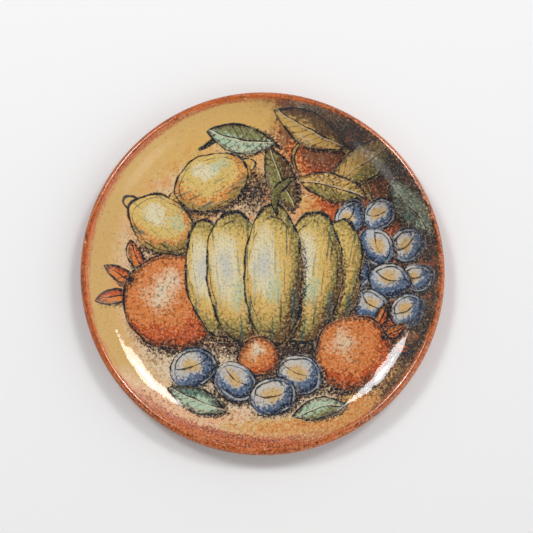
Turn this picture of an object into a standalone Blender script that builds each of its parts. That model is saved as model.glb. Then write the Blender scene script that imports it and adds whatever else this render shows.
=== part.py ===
"""A decorative plate: a round, shallow, footed plate, turned from one profile. Lengths are in metres.

It rests on its foot ring with the painted face up. The origin is at the middle of the foot's underside."""

import math

import bpy

OUTER_RADIUS = 0.165
FLOOR_HEIGHT = 0.0105
WALL = 0.0065
COVE_RADIUS = 0.0577
LIP_RADIUS = 0.004
FOOT_OUTER_RADIUS = 0.100
FOOT_WIDTH = 0.007
FOOT_DRAFT = 0.001
FOOT_EDGE = 0.0008
FOOT_FILLET = 0.0012

# Slopes of the section in degrees: where the cove meets the lip, where the underside's cove ends,
# and how far the lip's bead turns under
COVE_SLOPE = 40
UNDERSIDE_SLOPE = 31
LIP_END_TURN = 150

# Facets round the axis, and along each stretch of the section
STEPS = 92
COVE_POINTS = 8
LIP_POINTS = 19
BLEND_POINTS = 5
CORNER_POINTS = 2

CLAY = (0.42, 0.15, 0.055, 1.0)
ROUGHNESS = 0.2
MERGE_DISTANCE = 0.00001

LIP_MIDDLE = OUTER_RADIUS - LIP_RADIUS
FLOOR_RADIUS = LIP_MIDDLE - (COVE_RADIUS + LIP_RADIUS) * math.sin(math.radians(COVE_SLOPE))
COVE_MIDDLE_HEIGHT = FLOOR_HEIGHT + COVE_RADIUS
LIP_MIDDLE_HEIGHT = COVE_MIDDLE_HEIGHT - (COVE_RADIUS + LIP_RADIUS) * math.cos(math.radians(COVE_SLOPE))
UNDERSIDE_HEIGHT = FLOOR_HEIGHT - WALL


def arc(middle, radius, start, end, count):
    """Points on a circle from one direction to another, in degrees, 90 being up."""
    turns = [math.radians(start + (end - start) * i / count) for i in range(count + 1)]
    return [(middle[0] + radius * math.cos(turn), middle[1] + radius * math.sin(turn)) for turn in turns]


def cove(radius, start_slope, end_slope):
    """The hollow curve between the floor and the rim, from one slope to another."""
    middle = (FLOOR_RADIUS, COVE_MIDDLE_HEIGHT)
    return arc(middle, radius, start_slope - 90, end_slope - 90, COVE_POINTS)


def lip():
    """The lip's bead, from the cove's slope over the crest to where the underside begins."""
    middle = (LIP_MIDDLE, LIP_MIDDLE_HEIGHT)
    return arc(middle, LIP_RADIUS, COVE_SLOPE + 90, 90 - LIP_END_TURN, LIP_POINTS)


def blend(start, end, leaving, arriving):
    """Points between two ends on a cubic that leaves and arrives along directions in degrees."""
    start_turn, end_turn = math.radians(leaving), math.radians(arriving)
    reach = math.dist(start, end)
    points = []
    for i in range(1, BLEND_POINTS):
        t = i / BLEND_POINTS
        near, far = 2 * t**3 - 3 * t**2 + 1, 3 * t**2 - 2 * t**3
        out, into = (t**3 - 2 * t**2 + t) * reach, (t**3 - t**2) * reach
        radius = near * start[0] + far * end[0] + out * math.cos(start_turn) + into * math.cos(end_turn)
        height = near * start[1] + far * end[1] + out * math.sin(start_turn) + into * math.sin(end_turn)
        points.append((radius, height))
    return points


def foot():
    """The foot ring, from its outer side down to the underside of the ring and up to the recess."""
    inner_radius = FOOT_OUTER_RADIUS - FOOT_WIDTH
    fillet_height = UNDERSIDE_HEIGHT - FOOT_FILLET
    toe = FOOT_DRAFT + FOOT_EDGE
    return [
        *arc((FOOT_OUTER_RADIUS + FOOT_FILLET, fillet_height), FOOT_FILLET, 90, 180, CORNER_POINTS),
        *arc((FOOT_OUTER_RADIUS - toe, FOOT_EDGE), FOOT_EDGE, 0, -90, CORNER_POINTS),
        *arc((inner_radius + toe, FOOT_EDGE), FOOT_EDGE, -90, -180, CORNER_POINTS),
        *arc((inner_radius - FOOT_FILLET, fillet_height), FOOT_FILLET, 0, 90, CORNER_POINTS),
    ]


def profile():
    """The plate's section, from the middle of the floor out over the lip and back under to the axis."""
    above = cove(COVE_RADIUS, 0, COVE_SLOPE)
    bead = lip()[1:]
    below = cove(COVE_RADIUS + WALL, UNDERSIDE_SLOPE, 0)
    neck = blend(bead[-1], below[0], -LIP_END_TURN, UNDERSIDE_SLOPE - 180)
    return [(0.0, FLOOR_HEIGHT), *above, *bead, *neck, *below, *foot(), (0.0, UNDERSIDE_HEIGHT)]


def glazed():
    """The plate's material."""
    material = bpy.data.materials.new("plate_glaze")
    material.use_nodes = True
    shader = material.node_tree.nodes["Principled BSDF"]
    shader.inputs["Base Color"].default_value = CLAY
    shader.inputs["Roughness"].default_value = ROUGHNESS
    material.diffuse_color = CLAY
    return material


def plate(collection):
    """The plate as one turned solid."""
    points = profile()
    mesh = bpy.data.meshes.new("plate")
    edges = [(i, i + 1) for i in range(len(points) - 1)]
    mesh.from_pydata([(radius, 0.0, height) for radius, height in points], edges, [])
    mesh.materials.append(glazed())
    piece = bpy.data.objects.new("plate", mesh)
    collection.objects.link(piece)
    turned = piece.modifiers.new("turned", "SCREW")
    turned.axis = "Z"
    turned.angle = math.tau
    turned.steps = STEPS
    turned.render_steps = STEPS
    turned.use_merge_vertices = True
    turned.merge_threshold = MERGE_DISTANCE
    turned.use_smooth_shade = True
    return piece


def main():
    for old in list(bpy.data.objects):
        bpy.data.objects.remove(old, do_unlink=True)
    collection = bpy.data.collections.new("decorative_plate")
    bpy.context.scene.collection.children.link(collection)
    plate(collection)


main()
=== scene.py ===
"""The looks of a painted decorative plate: a glazed front with fruit and leaves, a plainer back, and light.

The picture is painted by shader nodes from ellipses, leaf shapes, arcs and noise. Its coordinates are
in plate radii: x to the right, y up, with the middle of the plate at the origin. Other lengths are in
metres, and colours are in display values from 0 to 255."""

import math
from functools import cached_property

import bpy
from mathutils import Matrix, Vector


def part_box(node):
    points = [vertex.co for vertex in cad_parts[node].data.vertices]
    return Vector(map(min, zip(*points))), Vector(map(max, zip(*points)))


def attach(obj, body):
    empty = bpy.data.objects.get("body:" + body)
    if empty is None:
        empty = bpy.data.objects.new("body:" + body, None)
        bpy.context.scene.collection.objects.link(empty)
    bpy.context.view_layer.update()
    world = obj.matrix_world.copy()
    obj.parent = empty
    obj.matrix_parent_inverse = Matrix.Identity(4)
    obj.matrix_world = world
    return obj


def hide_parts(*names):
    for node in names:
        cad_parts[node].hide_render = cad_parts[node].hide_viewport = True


SEGMENTS = 288

# The plate's section, as the solid has it, with its slopes in degrees
FLOOR_HEIGHT = 0.0105
WALL = 0.0065
COVE_RADIUS = 0.0577
LIP_RADIUS = 0.004
FOOT_OUTER_RADIUS = 0.100
FOOT_WIDTH = 0.007
FOOT_DRAFT = 0.001
FOOT_EDGE = 0.0008
FOOT_FILLET = 0.0012
COVE_SLOPE = 40
UNDERSIDE_SLOPE = 31
LIP_END_TURN = 150
FLOOR_RINGS = 40
COVE_POINTS = 24
LIP_POINTS = 38
BLEND_POINTS = 8
UNDER_POINTS = 20
CORNER_POINTS = 4

# The numbers of the plate's materials: painted front, glazed back and bare foot ring
FRONT, BACK, BARE = range(3)
GLAZE_IOR = 1.6

# The plate's place in the photograph, in pixels from its upper left corner, and the view
IMAGE_SIZE = 533
PLATE_MIDDLE_PX = (262.55, 274.04)
PLATE_RADIUS_PX = 182.0
CAMERA_DISTANCE = 1.4
CAMERA_TILT = math.radians(5)
AIM_SHARE_OF_HEIGHT = 0.8
SENSOR = 0.036

# Each softbox's side, its degrees round the plate's axis and off it, and its glow
SOFTBOXES = (("right", 47.5, 35.0, 10.0), ("left", 134, 35.4, 11.5))
LIGHT_DISTANCE = 2.6
SOFTBOX_SPREAD = 0.27
CORE_GLOW = 30.0
CORE_SPREAD = 0.09
CORE_FORWARD = 0.02

# The room's brightness, and its soft patches by their degrees round the plate's axis and off it
ROOM_OVERHEAD = 0.12
ROOM_SIDES = 0.45
ROOM_RIGHT = 0.74
PATCHES = ((217, 41), (322, 41))
PATCH_GLOW = 1.1
PATCH_SPREAD = math.radians(12)

# The floor's side, and the gap that it keeps to the plate's foot
FLOOR_SHEET = 12.0
FLOOR_GAP = 0.0004

# The baked map's layout: the front disc and the back disc
UV_NAME = "OFBake"
FRONT_UV = (0.405, 0.595, 0.395)
BACK_UV = (0.817, 0.183, 0.172)

# Places of sockets: a coordinate node's object output, and a colour mix's share, two colours and result
OBJECT_PLACE = 3
MIX_SHARE, MIX_UNDER, MIX_OVER, MIX_RESULT = 0, 6, 7, 2


def pigment(red, green, blue):
    """A colour given in display values from 0 to 255, as the linear values that nodes take."""
    linear = []
    for value in (red, green, blue):
        share = value / 255
        linear.append(share / 12.92 if share <= 0.04045 else ((share + 0.055) / 1.055) ** 2.4)
    return (*linear, 1.0)


OCHRE = pigment(201, 160, 88)
GOLD = pigment(212, 170, 96)
KHAKI = pigment(186, 147, 78)
PEACH = pigment(214, 160, 118)
BUFF = pigment(214, 194, 164)
ORANGE = pigment(204, 116, 54)
RED = pigment(178, 70, 28)
RUST = pigment(182, 88, 34)
BROWN = pigment(84, 50, 34)
UMBER = pigment(36, 26, 20)
INK = pigment(18, 24, 32)
BLUE = pigment(56, 84, 118)
NAVY = pigment(16, 32, 58)
SLATE = pigment(50, 54, 54)
TEAL = pigment(60, 96, 88)
MIST = pigment(176, 180, 184)
MINT = pigment(166, 188, 160)
OLIVE = pigment(122, 118, 62)
LEMON = pigment(208, 176, 100)
CREAM = pigment(214, 202, 164)
CLAY = pigment(186, 140, 104)


class Field:
    """A value that varies over the surface: an output of the material's node tree."""

    def __init__(self, tree, socket):
        self.tree = tree
        self.socket = socket

    def math(self, operation, *others):
        return make(self.tree, "ShaderNodeMath", self, *others, operation=operation)

    def __add__(self, other):
        return self.math("ADD", other)

    def __sub__(self, other):
        return self.math("SUBTRACT", other)

    def __mul__(self, other):
        return self.math("MULTIPLY", other)

    def __truediv__(self, other):
        return self.math("DIVIDE", other)

    def __abs__(self):
        return self.math("ABSOLUTE")

    def least(self, other):
        return self.math("MINIMUM", other)

    def most(self, other):
        return self.math("MAXIMUM", other)

    def ramp(self, start, end, low=0.0, high=1.0):
        """Runs smoothly from low to high as this value goes from start to end."""
        settings = {"interpolation_type": "SMOOTHSTEP", "clamp": False}
        return make(self.tree, "ShaderNodeMapRange", self, start, end, low, high, **settings)

    def vector(self, operation, *others, output=0):
        kind = "ShaderNodeVectorMath"
        return make(self.tree, kind, self, *others, output=output, operation=operation)

    def length(self):
        return self.vector("LENGTH", output=1)

    def distance(self, x, y):
        return self.vector("DISTANCE", (x, y, 0.0), output=1)

    def dot(self, direction):
        return self.vector("DOT_PRODUCT", direction, output=1)


def make(tree, kind, *values, output=0, named=None, **settings):
    """Adds a node, sets or links its inputs in order and by name, and gives one of its outputs."""
    node = tree.nodes.new(kind)
    for name, setting in settings.items():
        setattr(node, name, setting)
    for place, value in [*enumerate(values), *(named or {}).items()]:
        if isinstance(value, Field):
            tree.links.new(value.socket, node.inputs[place])
        else:
            node.inputs[place].default_value = value
    return Field(tree, node.outputs[output])


class Painter:
    """Lays colour over colour in one node tree, as a brush does over a ground."""

    SHARED = {
        "spot": "Vector",
        "point": "Vector",
        "drawn": "Vector",
        "filled": "Vector",
        "fine": "Float",
        "grit": "Float",
        "cloud": "Float",
        "weight": "Float",
    }

    def __init__(self, tree, ground):
        self.tree = tree
        self.colour = ground

    @cached_property
    def spot(self):
        """The place on the plate in plate radii, with its height."""
        place = make(self.tree, "ShaderNodeTexCoord", output=OBJECT_PLACE)
        return place.vector("MULTIPLY", (1 / RADIUS, 1 / RADIUS, 1 / RADIUS))

    @cached_property
    def point(self):
        """The place seen from above, in plate radii."""
        return self.spot.vector("MULTIPLY", (1.0, 1.0, 0.0))

    @cached_property
    def radius(self):
        return self.point.length()

    @cached_property
    def fine(self):
        """The finest dots of the brush."""
        return self.noise(104, 2.0, 0.55, solid=True)

    @cached_property
    def grit(self):
        """Coarser sponged dots."""
        return self.noise(64, 3.0, 0.62, shift=(7.0, 3.0, 0.0), solid=True)

    @cached_property
    def cloud(self):
        """Where a wash lies thick or thin."""
        return self.noise(4.5, 4.0, 0.6, shift=(2.0, 9.0, 0.0))

    @cached_property
    def weight(self):
        """How hard the brush presses on a line."""
        return self.noise(11, 3.0, 0.6, shift=(5.0, 1.0, 0.0))

    @cached_property
    def drawn(self):
        """Coordinates for the ink lines, shaken as a hand shakes."""
        return self.wobbled(6, 0.040, (0.0, 0.0, 0.0))

    @cached_property
    def filled(self):
        """Coordinates for the colour, which doesn't quite fill its line."""
        return self.wobbled(6, 0.044, (0.02, 0.03, 0.0))

    def layer(self, name, motif, *about):
        """Paints one motif in a node group of its own, over what is painted so far."""
        group = bpy.data.node_groups.new(name, "ShaderNodeTree")
        group.interface.new_socket("Painted", in_out="OUTPUT", socket_type="NodeSocketColor")
        group.interface.new_socket("Ground", in_out="INPUT", socket_type="NodeSocketColor")
        for label, kind in self.SHARED.items():
            group.interface.new_socket(label, in_out="INPUT", socket_type="NodeSocket" + kind)
        entry = group.nodes.new("NodeGroupInput")
        inner = Painter(group, Field(group, entry.outputs["Ground"]))
        for label in self.SHARED:
            setattr(inner, label, Field(group, entry.outputs[label]))
        motif(inner, *about)
        leaving = group.nodes.new("NodeGroupOutput")
        group.links.new(inner.colour.socket, leaving.inputs[0])
        given = {"Ground": self.colour, **{label: getattr(self, label) for label in self.SHARED}}
        self.colour = make(self.tree, "ShaderNodeGroup", node_tree=group, named=given)

    def noise(self, scale, detail, roughness, shift=(0.0, 0.0, 0.0), output=0, solid=False):
        """Noise over the plate seen from above, or solid, so that it isn't smeared down a steep side."""
        place = (self.spot if solid else self.point).vector("ADD", shift)
        named = {"Vector": place, "Scale": scale, "Detail": detail, "Roughness": roughness}
        kind = "ShaderNodeTexNoise"
        return make(self.tree, kind, named=named, output=output, noise_dimensions="3D" if solid else "2D")

    def wobbled(self, scale, reach, shift):
        """The plate's coordinates, shaken a little as a hand shakes."""
        shake = self.noise(scale, 3.0, 0.42, shift, output=1)
        centred = shake.vector("SUBTRACT", (0.5, 0.5, 0.5))
        return centred.vector("MULTIPLY_ADD", (reach, reach, 0.0), self.point)

    def lay(self, colour, mask):
        """Covers what is painted so far with a colour, where the mask is 1."""
        named = {MIX_SHARE: mask, MIX_UNDER: self.colour, MIX_OVER: colour}
        self.colour = make(self.tree, "ShaderNodeMix", named=named, output=MIX_RESULT, data_type="RGBA")

    def stipple(self, density, grain=None, soft=0.20):
        """Dots that crowd together as the density goes from 0, bare, to 1, covered."""
        threshold = (grain or self.fine).ramp(0.32, 0.68)
        return (density * (1 + 2 * soft) - threshold).ramp(0.0, 2 * soft)

    def dab(self, colour, mask, density, grain=None, soft=0.3, share=1.0):
        """Stipples a colour over what a mask covers."""
        self.lay(colour, mask * self.stipple(density, grain, soft) * share)

    def local(self, at, size, turn=0.0, points=None):
        """Coordinates in which a motif of this place, half-size and turn in degrees fills the unit circle.

        A reflection about half the turn, with y's sign changed, is that turn. It takes vector maths nodes
        alone, because the whole picture comes close to the limit of the renderer's shader stack."""
        place = points or self.filled
        angle = math.radians(turn)
        side = 1.0
        if turn:
            place = place.vector("REFLECT", (-math.sin(angle / 2), math.cos(angle / 2), 0.0))
            side = -1.0
        across = (at[0] * math.cos(angle) + at[1] * math.sin(angle)) / size[0]
        up = (at[1] * math.cos(angle) - at[0] * math.sin(angle)) / size[1]
        return place.vector("MULTIPLY_ADD", (1 / size[0], side / size[1], 0.0), (-across, -up, 0.0))

    def line(self, distance, width, strength=1.0):
        """An ink line where the distance is 0, uneven in weight and a little broken."""
        pressed = abs(distance) / self.weight.ramp(0.32, 0.68, 0.40, 1.75)
        solid = pressed.ramp(0.45 * width, 1.35 * width, strength, 0.0)
        self.lay(INK, solid * self.fine.ramp(0.24, 0.40, 0.40, 1.0))

    def outline(self, drawn, filled, width, gap):
        """A form's ink outline, with a lighter line inside it that wanders off the first."""
        self.line(drawn, width)
        broken = self.cloud.ramp(0.42, 0.58)
        inner = abs(filled + gap).ramp(0.20 * width, 0.75 * width, 0.8, 0.0)
        self.lay(INK, inner * broken)


def oval(painter, at, size, turn=0.0):
    """An oval's fill coordinates, its fill distance and its drawn distance."""
    scale = min(size)
    fill = painter.local(at, size, turn)
    drawn = painter.local(at, size, turn, painter.drawn)
    return fill, (fill.length() - 1.0) * scale, (drawn.length() - 1.0) * scale


def leaf_shape(at, half_length, half_width, turn, points):
    """A leaf's distance: where two equal circles overlap."""
    bow = (half_length**2 - half_width**2) / (2 * half_width)
    aside = math.radians(turn + 90)
    reach = []
    for side in (-bow, bow):
        reach.append(points.distance(at[0] + side * math.cos(aside), at[1] + side * math.sin(aside)))
    return reach[0].most(reach[1]) - (bow + half_width)


def inside(distance, soft=0.008):
    return distance.ramp(-soft, soft, 1.0, 0.0)


def along(at, length, turn):
    """The point at this length and direction in degrees from another."""
    heading = math.radians(turn)
    return (at[0] + length * math.cos(heading), at[1] + length * math.sin(heading))


def ground(painter):
    """Ochre on the left and low on the right, buff below, rust at the right inside a dark sponged ring."""
    spots, place = painter.cloud, painter.point
    mottle = painter.noise(30, 5.0, 0.75, shift=(3.0, 8.0, 0.0))
    wash = painter.noise(7, 4.0, 0.62, shift=(11.0, 2.0, 0.0))
    blotch = painter.noise(13, 4.0, 0.66, shift=(6.0, 5.0, 0.0))
    inner = painter.radius.ramp(0.74, 0.88, 1.0, 0.0)
    outer = painter.radius.ramp(0.76, 0.90)
    painter.lay(KHAKI, outer * place.dot((-0.9, -0.4, 0.0)).ramp(-0.3, 0.5, 0.20, 0.80))
    painter.dab(PEACH, inner, spots.ramp(0.36, 0.56, 0.30, 0.90), mottle, 0.45, 0.70)
    painter.dab(ORANGE, inner, blotch.ramp(0.42, 0.66, 0.08, 0.95), painter.grit, 0.40, 0.62)
    painter.dab(BUFF, inner, wash.ramp(0.36, 0.60, 0.15, 0.80), painter.grit, 0.35, 0.60)
    painter.dab(SLATE, inner, blotch.ramp(0.50, 0.34, 0.02, 0.42), painter.fine, 0.20, 0.42)
    low = place.dot((0.06, -1.0, 0.0)) + (spots - 0.5) * 0.5
    blush = place.dot((-0.30, -0.95, 0.0)) + (spots - 0.5) * 0.25
    bottom = inner.most(blush.ramp(0.70, 0.82))
    painter.dab(BUFF, low.ramp(0.1, 0.3) * bottom, low.ramp(0.15, 0.60), mottle, 0.35, 0.80)
    painter.dab(PEACH, blush.ramp(0.62, 0.78), blush.ramp(0.66, 0.92), painter.grit, 0.20, 0.85)
    painter.dab(RED, blush.ramp(0.70, 0.84), blush.ramp(0.74, 1.00) * 0.55, painter.grit, 0.12, 0.80)
    painter.dab(UMBER, blush.ramp(0.70, 0.84), blush.ramp(0.70, 0.95) * 0.26, painter.grit, 0.08, 0.60)
    lower = low.ramp(0.3, 0.5) * inner
    painter.dab(SLATE, lower, wash.ramp(0.62, 0.40, 0.12, 0.42), painter.fine, 0.16, 0.45)
    painter.lay(GOLD, place.dot((-0.25, 0.97, 0.0)).ramp(0.35, 0.95) * 0.75)
    right = place.dot((0.95, 0.30, 0.0)) + (spots - 0.5) * 0.30 + (mottle - 0.5) * 0.20
    painter.lay(ORANGE, painter.stipple(right.ramp(0.19, 0.45), painter.grit, 0.30) * 0.85)
    painter.lay(RED, painter.stipple(right.ramp(0.24, 0.56) * 1.1, painter.grit, 0.35) * 0.92)
    painter.dab(PEACH, right.ramp(0.2, 0.4), wash.ramp(0.52, 0.66) * 0.65, painter.grit, 0.30, 0.60)
    corner = place.dot((0.68, 0.73, 0.0)) + (wash - 0.5) * 0.6
    painter.dab(BROWN, right.ramp(0.2, 0.4), corner.ramp(0.40, 0.80, 0.15, 0.95), painter.grit, 0.35, 0.78)
    ring = painter.radius.ramp(0.72, 0.86) * painter.radius.ramp(0.965, 1.0, 1.0, 0.30)
    outside = painter.radius.ramp(0.76, 0.86)
    warm = outside * (place.dot((0.55, -0.83, 0.0)) + (wash - 0.5) * 0.2).ramp(0.50, 0.72)
    painter.lay(OCHRE, painter.stipple(warm, mottle, 0.45) * 0.90)
    painter.lay(ORANGE, painter.stipple(warm * 0.62, painter.grit, 0.30) * 0.75)
    span = (place.dot((1.0, 0.0, 0.0)) + (wash - 0.5) * 0.2).ramp(0.0, 0.24)
    band = ring * span * (place.dot((0.0, 1.0, 0.0)) + (wash - 0.5) * 0.3).ramp(-0.66, -0.25)
    turning = ring * (place.dot((0.87, -0.50, 0.0)) + (wash - 0.5) * 0.10).ramp(0.87, 0.93)
    painter.lay(OLIVE, painter.stipple(turning, mottle, 0.40) * 0.65)
    painter.lay(BROWN, painter.stipple(turning * 0.85, painter.grit, 0.25) * 0.80)
    painter.dab(BROWN, ring * span, band.ramp(0.0, 1.0, 0.10, 1.15), mottle, 0.45, 0.72)
    painter.lay(UMBER, painter.stipple(band * wash.ramp(0.35, 0.62, 0.45, 1.1), painter.grit, 0.35) * 0.93)
    painter.lay(SLATE, painter.stipple(band * wash.ramp(0.60, 0.42) * 0.46, painter.grit, 0.25) * 0.40)
    painter.lay(RUST, painter.stipple(band * blotch.ramp(0.44, 0.60) * 0.50, painter.grit, 0.25) * 0.60)
    painter.lay(PEACH, painter.stipple(band * spots.ramp(0.52, 0.66) * 0.35, painter.fine, 0.30) * 0.50)
    top = place.dot((0.0, 1.0, 0.0)).ramp(0.66, 0.95)
    painter.lay(BUFF, painter.stipple(band * top * 0.55, painter.fine, 0.25) * 0.55)


def rim(painter):
    """The rust band brushed along the lip, wide below and narrow on the right, with streaks along it."""
    place = painter.drawn
    radius = place.length()
    around = place.vector("NORMALIZE").vector("MULTIPLY", (2.2, 2.2, 0.0))
    crowding = 34.0
    out, up = radius * crowding, painter.spot.dot((0.0, 0.0, crowding))
    across = make(painter.tree, "ShaderNodeCombineXYZ", out, 0.0, up)
    named = {"Vector": around.vector("ADD", across), "Scale": 2.2, "Detail": 5.0, "Roughness": 0.70}
    streak = make(painter.tree, "ShaderNodeTexNoise", named=named, noise_dimensions="3D")
    below = place.dot((-0.22, -0.975, 0.0)).ramp(0.80, 0.98, 0.0, 0.042)
    right = place.dot((0.86, 0.50, 0.0)).ramp(0.3, 0.95, 0.0, 0.018)
    reach = painter.radius - 0.954 + below - right
    left = place.dot((-0.82, 0.57, 0.0)).ramp(0.6, 1.0, 0.0, 0.010)
    reach = reach + left + (streak - 0.5) * 0.070 + (painter.grit - 0.5) * 0.044
    spray = place.dot((-0.22, -0.975, 0.0)).ramp(0.72, 0.92)
    painter.dab(BUFF, spray, reach.ramp(-0.120, -0.01) * 0.55, painter.grit, 0.10, 0.70)
    painter.dab(RED, spray, reach.ramp(-0.080, 0.004), painter.grit, 0.12, 0.85)
    painter.dab(UMBER, spray, reach.ramp(-0.100, 0.01) * 0.38, painter.fine, 0.10, 0.60)
    painter.lay(RUST, reach.ramp(-0.010, 0.014))
    band = reach.ramp(0.0, 0.02)
    painter.lay(ORANGE, band * streak.ramp(0.50, 0.64) * 0.55)
    painter.lay(RED, band * streak.ramp(0.46, 0.32) * 0.80)
    pale = place.dot((-0.5, 0.86, 0.0)).ramp(-0.7, 0.7, 0.35, 1.15)
    painter.dab(PEACH, band, streak.ramp(0.46, 0.66, 0.10, 0.45) * pale, painter.grit, 0.15, 0.38)
    painter.dab(BROWN, band, streak.ramp(0.54, 0.34, 0.12, 0.60), painter.grit, 0.15, 0.60)
    painter.dab(UMBER, band, painter.cloud.ramp(0.40, 0.60, 0.14, 0.34), painter.fine, 0.10, 0.55)
    smoked = place.dot((0.74, 0.67, 0.0)).ramp(0.60, 0.95)
    painter.dab(UMBER, smoked, reach.ramp(0.032, -0.010) * 0.85, painter.grit, 0.25, 0.75)


def arc(painter, at, radius, start, end, width, colour):
    """A curled stem: a stretch of a ring between two directions in degrees, inked on both sides."""
    middle = math.radians((start + end) / 2)
    half = math.radians((end - start) / 2)
    place = painter.local(at, (radius, radius), 0, painter.drawn)
    away = place.length()
    off = (away - 1.0) * radius
    toward = place.dot((math.cos(middle), math.sin(middle), 0.0)) / away
    past = (toward * -1.0 + math.cos(half)) * radius
    narrow = toward.ramp(math.cos(half), 1.0, 0.25, 1.0) * (width * 0.5)
    stem = (abs(off) - narrow).most(past)
    painter.lay(colour, inside(stem, 0.004))
    painter.lay(UMBER, inside(stem, 0.004) * off.ramp(0.0, width * 0.5, 0.55, 0.0))
    painter.line(stem, 0.0046)


def cast(painter, fill, body, reach):
    """Stippled shade on what lies behind a form, along its lower right edge."""
    side = fill.dot((0.55, -0.83, 0.0)).ramp(-0.6, 0.8)
    shade = body.ramp(reach, 0.0) * side
    painter.lay(BROWN, painter.stipple(shade * 0.85, painter.grit, 0.35) * 0.60)
    painter.lay(INK, painter.stipple(shade * 0.70, painter.fine, 0.25) * 0.85)


def shadow(painter, at, size, depth):
    """A stippled contact shadow, thickest in its middle."""
    spread = painter.local(at, size).length() + (painter.cloud - 0.5) * 0.9 + (painter.grit - 0.5) * 0.7
    painter.lay(BROWN, painter.stipple(spread.ramp(0.40, 1.30, depth, 0.0), painter.grit, 0.40) * 0.60)
    painter.lay(INK, painter.stipple(spread.ramp(0.15, 1.10, depth, 0.0), painter.fine, 0.30) * 0.90)


def strokes(painter, at, size, turn):
    """Brush strokes drawn out along a form's first axis.

    They start from the unshaken coordinates: from the shaken ones, the picture overflowed the renderer's
    shader stack and came out black."""
    brushed = painter.local(at, (size[0] * 12, size[1] * 1.4), turn, painter.point)
    named = {"Vector": brushed, "Scale": 12.0, "Detail": 3.0, "Distortion": 0.25}
    return make(painter.tree, "ShaderNodeTexNoise", named=named)


def globe(painter, at, radius, turn, crowned):
    """A stippled orange fruit, pale where the light falls, with a crown of three points or bare."""
    if crowned:
        for lean in (-38, 38, 0):
            tip = along(at, radius * 1.16, turn + lean * 0.62)
            leaf(painter, tip, radius * 0.36, radius * 0.15, turn + lean, ORANGE, RED)
    _, body, drawn = oval(painter, at, (radius, radius * 0.95), turn)
    cast(painter, painter.local(at, (radius, radius)), body, 0.07)
    mask = inside(body)
    patch = (painter.cloud - 0.5) * 0.7 + (painter.weight - 0.5) * 0.5
    lit = painter.local(along(at, radius * 0.34, 125), (radius, radius)).length() + patch
    painter.lay(BUFF, mask)
    painter.dab(PEACH, mask, lit.ramp(0.0, 0.40, 0.30, 1.0), painter.grit, 0.40)
    painter.dab(ORANGE, mask, lit.ramp(0.10, 0.70, 0.10, 1.10), painter.grit, 0.40, 0.92)
    painter.dab(RED, mask, lit.ramp(0.45, 1.25), painter.grit, 0.35, 0.90)
    painter.dab(BROWN, mask, lit.ramp(0.80, 1.50), painter.grit, 0.30, 0.80)
    painter.dab(INK, mask, lit.ramp(1.05, 1.70), painter.fine, 0.20, 0.85)
    painter.dab(BROWN, mask, body.ramp(-0.050, 0.0) * 0.85, painter.grit, 0.25, 0.75)
    painter.dab(BROWN, mask, painter.noise(46, 1.0, 0.4).ramp(0.60, 0.72), painter.fine, 0.4, 0.55)
    painter.outline(drawn, body, 0.0046, 0.020)
    if crowned:
        shadow(painter, along(at, radius * 0.94, turn), (radius * 0.17, radius * 0.15), 0.9)


def plum(painter, at, size, turn=0.0):
    """A blue plum: ochre and pale bloom in the middle, blue at its edge, with a crease along it."""
    fill, body, drawn = oval(painter, at, size, turn)
    cast(painter, painter.local(at, size), body, 0.045)
    mask = inside(body)
    patch = (painter.weight - 0.5) * 0.9
    painter.lay(MIST, mask)
    painter.dab(BUFF, mask, painter.cloud.ramp(0.35, 0.65), painter.grit, 0.4, 0.35)
    core = fill.distance(-0.10, 0.12) + patch * 0.8 + (painter.grit - 0.5) * 0.5
    painter.lay(OCHRE, mask * core.ramp(0.22, 0.60, 0.85, 0.0))
    middle = fill.distance(-0.10, 0.12) + patch
    painter.dab(OLIVE, mask, middle.ramp(0.55, 0.75).least(0.30), painter.grit, 0.3, 0.5)
    side = fill.distance(-0.26, 0.32) + patch * 0.5
    painter.dab(BLUE, mask, side.ramp(0.34, 1.15, 0.0, 1.10), painter.grit, 0.45, 0.92)
    painter.dab(NAVY, mask, side.ramp(0.85, 1.28), painter.grit, 0.30, 0.92)
    glint = abs(fill.distance(0.04, -0.03) - 0.86).ramp(0.02, 0.07, 0.75, 0.0)
    painter.lay(MIST, mask * glint * painter.weight.ramp(0.44, 0.58))
    painter.outline(drawn, body, 0.0042, 0.016)
    bow = along(at, size[0] * 1.25, turn + 90)
    crease = (painter.drawn.distance(*bow) - size[0] * 1.25).most(body + 0.018)
    painter.line(crease, 0.0036, 0.9)


def squash(painter, at, size):
    """A ribbed squash: ribs laid from the outer pair to the middle one, under a curled stalk."""
    ribs = ((-0.72, 0.30), (0.72, 0.30), (-0.42, 0.36), (0.44, 0.36), (0.0, 0.34))
    for place, width in ribs:
        middle = (at[0] + place * size[0], at[1] - 0.03 * abs(place))
        painter.layer("rib", rib, middle, (width * size[0], size[1] * (1.0 - 0.30 * place**2)), place * -14)
    arc(painter, (at[0] + 0.14, at[1] + size[1] + 0.01), 0.14, 95, 205, 0.044, OLIVE)


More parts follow.
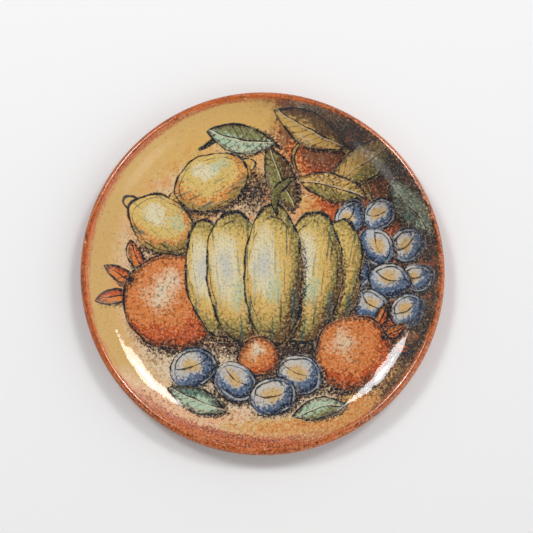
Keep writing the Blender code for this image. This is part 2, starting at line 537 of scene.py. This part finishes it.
def rib(painter, at, size, turn):
    """One rib: pale and greenish along its lit side, ochre and olive at its shaded side."""
    fill, body, drawn = oval(painter, at, size, turn)
    cast(painter, fill, body, 0.05)
    mask = inside(body)
    brushed = strokes(painter, at, (size[1], size[0]), turn + 90)
    drift = (brushed - 0.5) * 1.1 + (painter.cloud - 0.5) * 0.6
    painter.lay(LEMON, mask)
    pale = fill.distance(-0.32, 0.15) + drift * 0.6
    painter.dab(CREAM, mask, pale.ramp(0.15, 0.80, 1.0, 0.0), painter.grit, 0.45)
    painter.lay(MIST, mask * pale.ramp(0.05, 0.34, 0.60, 0.0))
    green = fill.distance(0.10, -0.30) + drift
    painter.dab(MINT, mask, green.ramp(0.10, 0.55, 0.75, 0.0), painter.grit, 0.4, 0.65)
    edge = fill.distance(-0.25, 0.22) + drift * 0.4
    painter.dab(OCHRE, mask, edge.ramp(0.40, 0.95), painter.grit, 0.40, 0.80)
    top = fill.dot((0.10, 1.0, 0.0)) + drift * 0.7
    painter.dab(OLIVE, mask, top.ramp(0.35, 1.05) * 0.9, painter.grit, 0.35, 0.65)
    painter.dab(BROWN, mask, top.ramp(0.62, 1.15) * 0.8, painter.grit, 0.25, 0.80)
    low = fill.dot((0.7, -0.7, 0.0)) + drift * 0.5
    painter.dab(ORANGE, mask, low.ramp(0.25, 0.90) * 0.85, painter.grit, 0.35, 0.65)
    painter.dab(OLIVE, mask, edge.ramp(0.60, 1.15), painter.grit, 0.30, 0.75)
    painter.dab(BROWN, mask, edge.ramp(0.86, 1.28), painter.grit, 0.25, 0.85)
    painter.dab(INK, mask, low.ramp(0.70, 1.20), painter.fine, 0.20, 0.80)
    painter.lay(TEAL, mask * brushed.ramp(0.57, 0.64) * edge.ramp(0.30, 0.80, 0.30, 0.85))
    painter.lay(INK, mask * brushed.ramp(0.41, 0.35) * edge.ramp(0.50, 1.00, 0.22, 0.90))
    painter.outline(drawn, body, 0.0048, 0.026)


def leaf(painter, at, half_length, half_width, turn, colour, dark):
    """A pointed leaf with a shaded half, a midrib and, where it is large, veins."""
    body = leaf_shape(at, half_length, half_width, turn, painter.filled)
    drawn = leaf_shape(at, half_length, half_width, turn, painter.drawn)
    place = painter.local(at, (half_length, half_width), turn, painter.drawn)
    cast(painter, painter.local(at, (half_length, half_length)), body, 0.04)
    mask = inside(body, 0.006)
    painter.lay(colour, mask)
    under = place.dot((0.0, -1.0, 0.0)) + (painter.weight - 0.5) * 1.6
    painter.dab(dark, mask, under.ramp(-0.5, 0.8), painter.grit, 0.35, 0.85)
    painter.dab(CREAM, mask, under.ramp(-0.2, -0.9) * 0.6, painter.grit, 0.35, 0.50)
    painter.dab(BROWN, mask, painter.cloud.ramp(0.46, 0.60) * 0.5, painter.grit, 0.25, 0.60)
    painter.dab(BROWN, mask, body.ramp(-0.040, 0.0) * 0.75, painter.grit, 0.30, 0.75)
    painter.line(drawn, 0.0042)
    bend = place.dot((1.0, 0.0, 0.0)).math("POWER", 2.0) * (half_width * 0.25)
    midrib = place.dot((0.0, half_width, 0.0)) + bend
    painter.line(midrib.most(body + 0.004), 0.0034)
    if half_length > 0.12:
        slanted = place.dot((half_length, 0.0, 0.0)) - abs(midrib) * 1.1
        veins = slanted.math("PINGPONG", 0.022).most(body + 0.014)
        painter.line(veins, 0.0026, 0.75)
        painter.lay(BUFF, mask * abs(midrib - 0.007).ramp(0.001, 0.005, 0.6, 0.0))


def lemon(painter, at, size, turn=0.0):
    """A yellow lemon: an oval with a point at each end."""
    for end in (-1, 1):
        tip = along(at, end * size[0] * 0.98, turn)
        _, body, drawn = oval(painter, tip, (size[0] * 0.22, size[1] * 0.26), turn)
        painter.lay(OCHRE, inside(body))
        painter.line(drawn, 0.0050)
    fill, body, drawn = oval(painter, at, size, turn)
    cast(painter, painter.local(at, size), body, 0.055)
    mask = inside(body)
    patch = (painter.cloud - 0.5) * 0.6 + (painter.weight - 0.5) * 0.5
    lit = painter.local(along(at, size[1] * 0.38, 120), size, turn).length() + patch
    painter.lay(LEMON, mask)
    painter.dab(CREAM, mask, lit.ramp(0.10, 0.65, 1.0, 0.0), painter.grit, 0.45)
    green = fill.distance(0.30, 0.45) + patch
    painter.dab(MINT, mask, green.ramp(0.15, 0.50, 0.7, 0.0), painter.grit, 0.35, 0.55)
    painter.dab(ORANGE, mask, lit.ramp(0.50, 1.15) * 0.95, painter.grit, 0.35, 0.75)
    painter.dab(OLIVE, mask, lit.ramp(0.75, 1.30), painter.grit, 0.30, 0.75)
    painter.dab(BROWN, mask, lit.ramp(1.00, 1.50), painter.grit, 0.25, 0.85)
    brushed = strokes(painter, at, size, turn)
    painter.lay(TEAL, mask * brushed.ramp(0.57, 0.64) * lit.ramp(0.35, 0.90, 0.20, 0.80))
    painter.lay(INK, mask * brushed.ramp(0.41, 0.35) * lit.ramp(0.60, 1.20, 0.15, 0.90))
    painter.outline(drawn, body, 0.0046, 0.022)


def still_life(painter):
    """The fruit, from the back of the picture to its front."""
    paint = painter.layer
    paint("twig_long", arc, (0.06, 0.30), 0.56, 12, 88, 0.030, LEMON)
    paint("twig_right", arc, (0.84, 0.66), 0.34, 170, 262, 0.022, OCHRE)
    paint("twig_left", arc, (-0.12, 0.44), 0.34, 50, 132, 0.022, OLIVE)
    paint("twig_curl", arc, (0.30, 0.64), 0.13, 60, 250, 0.016, LEMON)
    paint("leaf_top", leaf, (0.26, 0.80), 0.22, 0.088, 152, OCHRE, BROWN)
    paint("leaf_upper_right", leaf, (0.55, 0.60), 0.22, 0.094, 36, OCHRE, OLIVE)
    paint("leaf_right", leaf, (0.82, 0.36), 0.19, 0.080, -54, MINT, TEAL)
    paint("shadow_back", shadow, (-0.08, 0.46), (0.30, 0.15), 0.70)
    paint("leaf_behind", leaf, (0.10, 0.53), 0.19, 0.080, 112, OLIVE, BROWN)
    paint("leaf_middle", leaf, (0.38, 0.48), 0.19, 0.078, -14, OCHRE, OLIVE)
    paint("leaf_upper_left", leaf, (-0.12, 0.75), 0.19, 0.076, 170, MINT, OLIVE)
    paint("plum_high", plum, (0.49, 0.31), (0.094, 0.086), 60)
    paint("plum_top", plum, (0.65, 0.33), (0.090, 0.082), 20)
    paint("plum_far", plum, (0.80, 0.15), (0.096, 0.088), 40)
    paint("plum_near", plum, (0.63, 0.15), (0.106, 0.096), -70)
    paint("plum_edge", plum, (0.85, -0.03), (0.090, 0.082), 10)
    paint("plum_back", plum, (0.52, 0.00), (0.098, 0.088), 80)
    paint("plum_mid", plum, (0.70, -0.04), (0.110, 0.098), -20)
    paint("plum_low", plum, (0.80, -0.21), (0.096, 0.086), 30)
    paint("plum_front", plum, (0.60, -0.18), (0.104, 0.092), -35)
    paint("shadow_side", shadow, (-0.40, 0.12), (0.30, 0.17), 0.85)
    paint("lemon_high", lemon, (-0.28, 0.51), (0.215, 0.155), 26)
    paint("lemon_low", lemon, (-0.56, 0.27), (0.205, 0.150), -36)
    paint("shadow_left", shadow, (-0.36, -0.43), (0.32, 0.09), 0.60)
    paint("shadow_right", shadow, (0.50, -0.62), (0.28, 0.09), 0.75)
    paint("pomegranate_left", globe, (-0.50, -0.16), 0.275, 152, True)
    paint("shadow_middle", shadow, (0.10, -0.42), (0.50, 0.12), 0.90)
    paint("squash", squash, (0.06, -0.01), (0.47, 0.39))
    paint("pomegranate_right", globe, (0.50, -0.44), 0.215, 28, True)
    paint("shadow_low", shadow, (-0.04, -0.69), (0.42, 0.07), 0.60)
    paint("plum_1", plum, (-0.38, -0.52), (0.128, 0.108), 24)
    paint("plum_2", plum, (0.20, -0.56), (0.130, 0.110), -18)
    paint("cherry_1", globe, (-0.02, -0.46), 0.112, 0, False)
    paint("plum_3", plum, (-0.15, -0.60), (0.128, 0.106), -32)
    paint("plum_4", plum, (0.06, -0.68), (0.126, 0.102), 10)
    paint("leaf_low", leaf, (-0.36, -0.70), 0.17, 0.066, 158, MINT, TEAL)
    paint("leaf_low_right", leaf, (0.31, -0.75), 0.15, 0.058, 14, MINT, OLIVE)


def flecks(painter):
    """The glaze's fine grain, a few iron specks, and the worn mark on the lip at the left."""
    sponged = painter.point.dot((0.75, -0.66, 0.0)).ramp(-0.35, 0.35, 0.28, 1.0)
    busy = painter.radius.ramp(0.88, 0.70).most(sponged)
    painter.lay(BUFF, painter.grit.ramp(0.55, 0.70) * busy * 0.30)
    painter.lay(UMBER, painter.grit.ramp(0.45, 0.31) * busy * 0.36)
    painter.lay(BUFF, painter.fine.ramp(0.54, 0.70) * busy * 0.30)
    painter.lay(UMBER, painter.fine.ramp(0.47, 0.32) * busy * 0.36)
    named = {"Vector": painter.drawn, "Scale": 34.0, "Randomness": 1.0}
    cells = {"named": named, "voronoi_dimensions": "2D"}
    near = make(painter.tree, "ShaderNodeTexVoronoi", **cells)
    kept = make(painter.tree, "ShaderNodeTexVoronoi", output=1, **cells).dot((1.0, 0.0, 0.0))
    painter.lay(UMBER, near.ramp(0.05, 0.11, 0.8, 0.0) * kept.ramp(0.90, 0.92))
    mark = painter.local((-0.968, 0.199), (0.0075, 0.030), 12, painter.point).length()
    painter.lay(BROWN, mark.ramp(0.6, 1.1, 0.85, 0.0))
    spot = painter.local((-0.972, 0.163), (0.006, 0.007), 0, painter.point).length()
    painter.lay(BUFF, spot.ramp(0.5, 1.1, 0.9, 0.0))


def new_material(name, roughness):
    """A glossy material and its shader, with what is the same all over set on the sockets."""
    material = bpy.data.materials.new(name)
    material.use_nodes = True
    shader = material.node_tree.nodes["Principled BSDF"]
    shader.inputs["Roughness"].default_value = roughness
    shader.inputs["IOR"].default_value = GLAZE_IOR
    return material, shader


def swell(painter, shader, parts):
    """Bumps from noises, each given as its scale over the plate and its height in metres."""
    height = None
    for scale, rise in parts:
        wave = painter.noise(scale, 1.0, 0.5, shift=(scale, 0.0, 0.0)) * rise
        height = wave if height is None else height + wave
    named = {"Height": height, "Distance": 1.0, "Strength": 1.0}
    bump = make(painter.tree, "ShaderNodeBump", named=named)
    painter.tree.links.new(bump.socket, shader.inputs["Normal"])


def painted_front():
    """The glossy front with its picture."""
    material, shader = new_material("painted_glaze", roughness=0.06)
    tree = material.node_tree
    painter = Painter(tree, OCHRE)
    painter.layer("ground", ground)
    still_life(painter)
    painter.layer("rim", rim)
    painter.layer("flecks", flecks)
    tree.links.new(painter.colour.socket, shader.inputs["Base Color"])
    swell(painter, shader, ((6, 0.00036), (20, 0.00006), (52, 0.000024)))
    return material


def glazed_back():
    """The underside's plain rust glaze, brushed in rings."""
    material, shader = new_material("back_glaze", roughness=0.22)
    tree = material.node_tree
    painter = Painter(tree, RUST)
    crowding = 30.0
    out, up = painter.radius * crowding, painter.spot.dot((0.0, 0.0, crowding))
    rings = make(tree, "ShaderNodeCombineXYZ", out, 0.0, up)
    named = {"Vector": rings.vector("ADD", painter.point), "Scale": 1.6, "Detail": 3.0}
    streak = make(tree, "ShaderNodeTexNoise", named=named)
    painter.lay(BROWN, streak.ramp(0.46, 0.66) * 0.55)
    painter.lay(ORANGE, painter.stipple(painter.cloud.ramp(0.4, 0.7) * 0.4) * 0.4)
    flecks(painter)
    tree.links.new(painter.colour.socket, shader.inputs["Base Color"])
    swell(painter, shader, ((9, 0.00040), (60, 0.00005)))
    return material


def bare_foot():
    """The foot ring's unglazed clay."""
    material, shader = new_material("bare_clay", roughness=0.85)
    tree = material.node_tree
    painter = Painter(tree, CLAY)
    painter.lay(BROWN, painter.stipple(painter.cloud.ramp(0.35, 0.7) * 0.30, painter.fine) * 0.5)
    painter.lay(BUFF, painter.stipple(painter.cloud.ramp(0.7, 0.35) * 0.35, painter.grit) * 0.5)
    tree.links.new(painter.colour.socket, shader.inputs["Base Color"])
    swell(painter, shader, ((180, 0.00010),))
    return material


def arc_points(middle, radius, start, end, count):
    """Points on a circle from one direction to another, in degrees, 90 being up."""
    turns = [math.radians(start + (end - start) * i / count) for i in range(count + 1)]
    return [(middle[0] + radius * math.cos(turn), middle[1] + radius * math.sin(turn)) for turn in turns]


def cove(radius, start_slope, end_slope, count):
    """The hollow curve between the floor and the rim, from one slope to another."""
    middle = (FLOOR_RADIUS, COVE_MIDDLE_HEIGHT)
    return arc_points(middle, radius, start_slope - 90, end_slope - 90, count)


def lip():
    """The lip's bead, from the cove's slope over the crest to where the underside begins."""
    middle = (LIP_MIDDLE, LIP_MIDDLE_HEIGHT)
    return arc_points(middle, LIP_RADIUS, COVE_SLOPE + 90, 90 - LIP_END_TURN, LIP_POINTS)


def blend(start, end, leaving, arriving):
    """Points between two ends on a cubic that leaves and arrives along directions in degrees."""
    start_turn, end_turn = math.radians(leaving), math.radians(arriving)
    reach = math.dist(start, end)
    points = []
    for i in range(1, BLEND_POINTS):
        t = i / BLEND_POINTS
        near, far = 2 * t**3 - 3 * t**2 + 1, 3 * t**2 - 2 * t**3
        out, into = (t**3 - 2 * t**2 + t) * reach, (t**3 - t**2) * reach
        radius = near * start[0] + far * end[0] + out * math.cos(start_turn) + into * math.cos(end_turn)
        height = near * start[1] + far * end[1] + out * math.sin(start_turn) + into * math.sin(end_turn)
        points.append((radius, height))
    return points


def foot():
    """The foot ring, from its outer side down to the underside of the ring and up to the recess."""
    inner_radius = FOOT_OUTER_RADIUS - FOOT_WIDTH
    fillet_height = UNDERSIDE_HEIGHT - FOOT_FILLET
    toe = FOOT_DRAFT + FOOT_EDGE
    count = CORNER_POINTS
    return [
        *arc_points((FOOT_OUTER_RADIUS + FOOT_FILLET, fillet_height), FOOT_FILLET, 90, 180, count),
        *arc_points((FOOT_OUTER_RADIUS - toe, FOOT_EDGE), FOOT_EDGE, 0, -90, count),
        *arc_points((inner_radius + toe, FOOT_EDGE), FOOT_EDGE, -90, -180, count),
        *arc_points((inner_radius - FOOT_FILLET, fillet_height), FOOT_FILLET, 0, 90, count),
    ]


def profile():
    """The section from the floor's middle round to the underside's, and where its stretches end."""
    floor = [(FLOOR_RADIUS * i / FLOOR_RINGS, FLOOR_HEIGHT) for i in range(FLOOR_RINGS)]
    above = cove(COVE_RADIUS, 0, COVE_SLOPE, COVE_POINTS)
    bead = lip()[1:]
    below = cove(COVE_RADIUS + WALL, UNDERSIDE_SLOPE, 0, UNDER_POINTS)
    neck = blend(bead[-1], below[0], -LIP_END_TURN, UNDERSIDE_SLOPE - 180)
    ring = foot()
    inner = ring[-1][0]
    recess = [(inner * (1 - i / UNDER_POINTS), UNDERSIDE_HEIGHT) for i in range(1, UNDER_POINTS + 1)]
    front = [*floor, *above, *bead]
    back = [*neck, *below]
    return [*front, *back, *ring, *recess], len(front), len(front) + len(back)


def disc_map(points, turn_at):
    """For each point of the section, the map's disc and its distance from the disc's middle."""
    lengths = [0.0]
    for near, far in zip(points, points[1:]):
        lengths.append(lengths[-1] + math.dist(near, far))
    whole = lengths[-1]
    turned = lengths[turn_at]
    places = []
    for length in lengths:
        front = FRONT_UV[2] * length / turned
        back = BACK_UV[2] * (whole - length) / (whole - turned)
        places.append((front, back))
    return places


def turned_plate():
    """The plate's fine mesh, turned from its section, with its map and material of each face."""
    points, front_end, ring_start = profile()
    ring_end = ring_start + len(foot())
    places = disc_map(points, front_end - 1)
    last = len(points) - 1
    vertices = [(0.0, 0.0, points[0][1]), (0.0, 0.0, points[-1][1])]
    for radius, height in points[1:-1]:
        for step in range(SEGMENTS):
            turn = math.tau * step / SEGMENTS
            vertices.append((radius * math.cos(turn), radius * math.sin(turn), height))

    def corner(ring, step):
        """A vertex's number, its ring in the section and its step round the axis."""
        if ring in (0, last):
            return (0 if ring == 0 else 1, ring, step)
        return (2 + (ring - 1) * SEGMENTS + step % SEGMENTS, ring, step)

    faces, slots = [], []
    for ring in range(last):
        if ring < front_end - 1:
            slot = FRONT
        elif ring_start <= ring < ring_end - 1:
            slot = BARE
        else:
            slot = BACK
        for step in range(SEGMENTS):
            around = [corner(ring, step), corner(ring + 1, step)]
            around += [corner(ring + 1, step + 1), corner(ring, step + 1)]
            if ring == 0:
                around = around[:3]
            elif ring == last - 1:
                around = [around[0], around[1], around[3]]
            faces.append(around)
            slots.append(slot)
    mesh = bpy.data.meshes.new("glazed_plate")
    mesh.from_pydata(vertices, [], [[c[0] for c in face] for face in faces])
    layer = mesh.uv_layers.new(name=UV_NAME)
    loop = 0
    for face, slot in zip(faces, slots):
        for number, ring, step in face:
            across, up, _ = FRONT_UV if slot == FRONT else BACK_UV
            reach = places[ring][0 if slot == FRONT else 1]
            turn = math.tau * step / SEGMENTS * (1 if slot == FRONT else -1)
            layer.data[loop].uv = (across + reach * math.cos(turn), up + reach * math.sin(turn))
            loop += 1
    mesh.polygons.foreach_set("material_index", slots)
    mesh.shade_smooth()
    return mesh


def dressed_plate():
    """The piece that stands for the solid plate."""
    mesh = turned_plate()
    for material in (painted_front(), glazed_back(), bare_foot()):
        mesh.materials.append(material)
    piece = bpy.data.objects.new("glazed_plate", mesh)
    bpy.context.scene.collection.objects.link(piece)
    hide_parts("plate")
    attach(piece, "root")


def floor():
    """The pale floor that the plate lies on."""
    bpy.ops.mesh.primitive_plane_add(size=FLOOR_SHEET, location=(0.0, 0.0, -FLOOR_GAP))
    sheet = bpy.context.object
    sheet.name = "floor"
    material, shader = new_material("pale_floor", roughness=0.9)
    shader.inputs["Base Color"].default_value = pigment(232, 232, 232)
    shader.inputs["Specular IOR Level"].default_value = 0.1
    sheet.data.materials.append(material)


def heading(azimuth, off_axis):
    """The direction from the plate, in degrees round its axis and off it."""
    turn, off = math.radians(azimuth), math.radians(off_axis)
    return (math.cos(turn) * math.sin(off), math.sin(turn) * math.sin(off), math.cos(off))


def softbox(name, azimuth, off_axis, spread, glow, forward=0.0):
    """A square area light aimed at the plate, from degrees round and off its axis, its edges upright.

    Its spread is its side as a share of its distance. Its brightness follows its glow, whatever its size."""
    light = bpy.data.lights.new(name, "AREA")
    light.shape = "SQUARE"
    distance = LIGHT_DISTANCE - forward
    light.size = spread * distance
    light.energy = glow * math.pi * light.size**2
    lamp = bpy.data.objects.new(name, light)
    bpy.context.scene.collection.objects.link(lamp)
    away = Vector(heading(azimuth, off_axis))
    across = Vector((0.0, 1.0, 0.0)).cross(away).normalized()
    facing = Matrix((across, away.cross(across), away)).transposed().to_4x4()
    lamp.matrix_world = Matrix.Translation(away * distance) @ facing


def surround():
    """A white room, dimmer overhead so that the flat of the glaze isn't veiled, and brighter at the right.

    Two soft patches beyond the picture's lower side show as pale bands in the plate's upper curve."""
    world = bpy.data.worlds.new("surround")
    world.use_nodes = True
    tree = world.node_tree
    direction = make(tree, "ShaderNodeTexCoord")
    share = direction.dot((0.0, 0.0, 1.0)).ramp(0.99, 0.72, ROOM_OVERHEAD, ROOM_SIDES)
    share = share + direction.dot((1.0, 0.0, 0.0)).ramp(0.0, 0.9, 0.0, ROOM_RIGHT)
    for azimuth, off_axis in PATCHES:
        facing = direction.dot(heading(azimuth, off_axis))
        share = share + facing.ramp(math.cos(PATCH_SPREAD), 1.0, 0.0, PATCH_GLOW)
    tree.links.new(share.socket, tree.nodes["Background"].inputs["Strength"])
    tree.nodes["Background"].inputs["Color"].default_value = (1.0, 1.0, 1.0, 1.0)
    bpy.context.scene.world = world


def lights():
    """Two softboxes with hot cores above the picture at its left and right, and a room."""
    for side, azimuth, off_axis, glow in SOFTBOXES:
        softbox("softbox_" + side, azimuth, off_axis, SOFTBOX_SPREAD, glow)
        softbox("core_" + side, azimuth, off_axis, CORE_SPREAD, CORE_GLOW, CORE_FORWARD)
    surround()


def camera():
    """Looks down on the lying plate, a little from the picture's lower side.

    The tilt makes the plate's near half larger, which draws its outline's middle down in the frame."""
    width = IMAGE_SIZE * RADIUS / PLATE_RADIUS_PX
    data = bpy.data.cameras.new("camera")
    data.sensor_width = SENSOR * 1000
    data.lens = data.sensor_width * CAMERA_DISTANCE / width
    view = bpy.data.objects.new("camera", data)
    bpy.context.scene.collection.objects.link(view)
    per_pixel = width / IMAGE_SIZE
    aim_x = (IMAGE_SIZE / 2 - PLATE_MIDDLE_PX[0]) * per_pixel
    drawn_down = RADIUS**2 * math.sin(CAMERA_TILT) / CAMERA_DISTANCE
    aim_y = (PLATE_MIDDLE_PX[1] - IMAGE_SIZE / 2) * per_pixel - drawn_down
    away = Vector((0.0, -math.sin(CAMERA_TILT), math.cos(CAMERA_TILT)))
    aim = Vector((aim_x, aim_y, HEIGHT * AIM_SHARE_OF_HEIGHT))
    turn = Matrix.Rotation(CAMERA_TILT, 4, "X")
    view.matrix_world = Matrix.Translation(aim + away * CAMERA_DISTANCE) @ turn
    bpy.context.scene.camera = view
    bpy.context.scene.view_settings.view_transform = "Standard"


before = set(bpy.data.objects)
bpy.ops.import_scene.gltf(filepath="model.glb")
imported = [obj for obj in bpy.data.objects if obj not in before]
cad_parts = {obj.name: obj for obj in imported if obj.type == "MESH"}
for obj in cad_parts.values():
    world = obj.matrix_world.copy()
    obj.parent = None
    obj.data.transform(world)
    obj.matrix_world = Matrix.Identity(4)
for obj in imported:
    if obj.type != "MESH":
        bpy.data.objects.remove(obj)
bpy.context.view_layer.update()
low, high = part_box("plate")
RADIUS = high[0]
HEIGHT = high[2]
LIP_MIDDLE = RADIUS - LIP_RADIUS
FLOOR_RADIUS = LIP_MIDDLE - (COVE_RADIUS + LIP_RADIUS) * math.sin(math.radians(COVE_SLOPE))
COVE_MIDDLE_HEIGHT = FLOOR_HEIGHT + COVE_RADIUS
LIP_MIDDLE_HEIGHT = COVE_MIDDLE_HEIGHT - (COVE_RADIUS + LIP_RADIUS) * math.cos(math.radians(COVE_SLOPE))
UNDERSIDE_HEIGHT = FLOOR_HEIGHT - WALL

dressed_plate()
floor()
lights()
camera()
